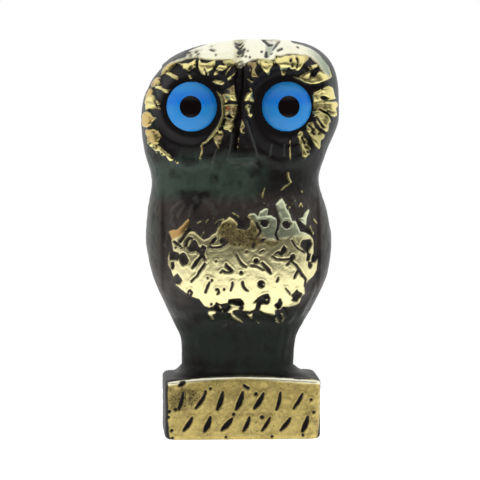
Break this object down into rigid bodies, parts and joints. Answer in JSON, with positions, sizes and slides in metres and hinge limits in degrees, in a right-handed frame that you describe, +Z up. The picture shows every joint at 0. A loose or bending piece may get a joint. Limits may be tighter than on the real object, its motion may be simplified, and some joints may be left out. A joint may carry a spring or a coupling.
{
  "type": "owl statuette",
  "caption": "Small cast brass owl standing in one piece with an oblong block, with domed glass eyes set in its round face.",
  "frame": {"origin": "middle of the block's underside", "axes": "+Z up, the owl faces -Y, and its own left side is towards +X"},
  "size_m": [0.0305, 0.0202, 0.0613],
  "materials": {
    "patinated_brass": "sand-cast brass under a dark purple-brown and green patina, rubbed bright on the high places and lacquered",
    "blue_glass": "opaque blue glass with a black pupil fused into it, fire-polished"
  },
  "bodies": {
    "root": {"owl_casting": "patinated_brass", "left_eye": "blue_glass", "right_eye": "blue_glass"}
  },
  "joints": []
}
